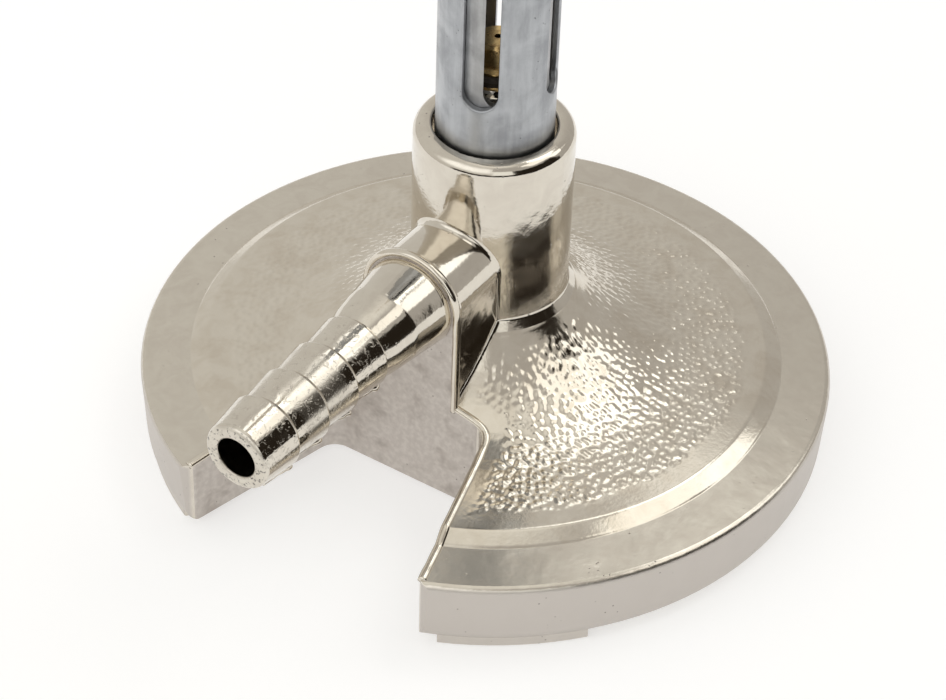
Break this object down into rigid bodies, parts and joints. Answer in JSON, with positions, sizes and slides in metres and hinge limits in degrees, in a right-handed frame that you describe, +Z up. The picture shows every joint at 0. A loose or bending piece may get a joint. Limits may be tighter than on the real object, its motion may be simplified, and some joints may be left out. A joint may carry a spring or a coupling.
{
  "type": "bunsen burner",
  "caption": "Bench gas burner: round notched cast foot, side hose tail, upright column, slotted mixing tube with a turning air sleeve and a straight barrel.",
  "frame": {"origin": "the point on the bench under the burner's upright axis", "axes": "+Z up along the barrel, -Y along the hose tail towards its tip"},
  "size_m": [0.085, 0.0926, 0.152],
  "materials": {
    "nickel_plate": "polished, satin on the rim",
    "soft_aluminium": "satin",
    "jet_brass": "turned",
    "tube_zinc": "rough cast",
    "sleeve_zinc": "satin cast",
    "spring_wire": "drawn wire",
    "barrel_nickel": "satin"
  },
  "bodies": {
    "burner": {"base_casting": "nickel_plate", "jet_washer": "soft_aluminium", "gas_jet": "jet_brass", "mixing_tube": "tube_zinc", "friction_ring": "spring_wire", "barrel": "barrel_nickel"},
    "air_regulator": {"air_sleeve": "sleeve_zinc"}
  },
  "joints": [
    {"name": "air_sleeve_turn", "type": "hinge", "parent": "burner", "child": "air_regulator", "pos_m": [0, 0, 0.062], "axis": [0, 0, 1], "continuous": true}
  ]
}
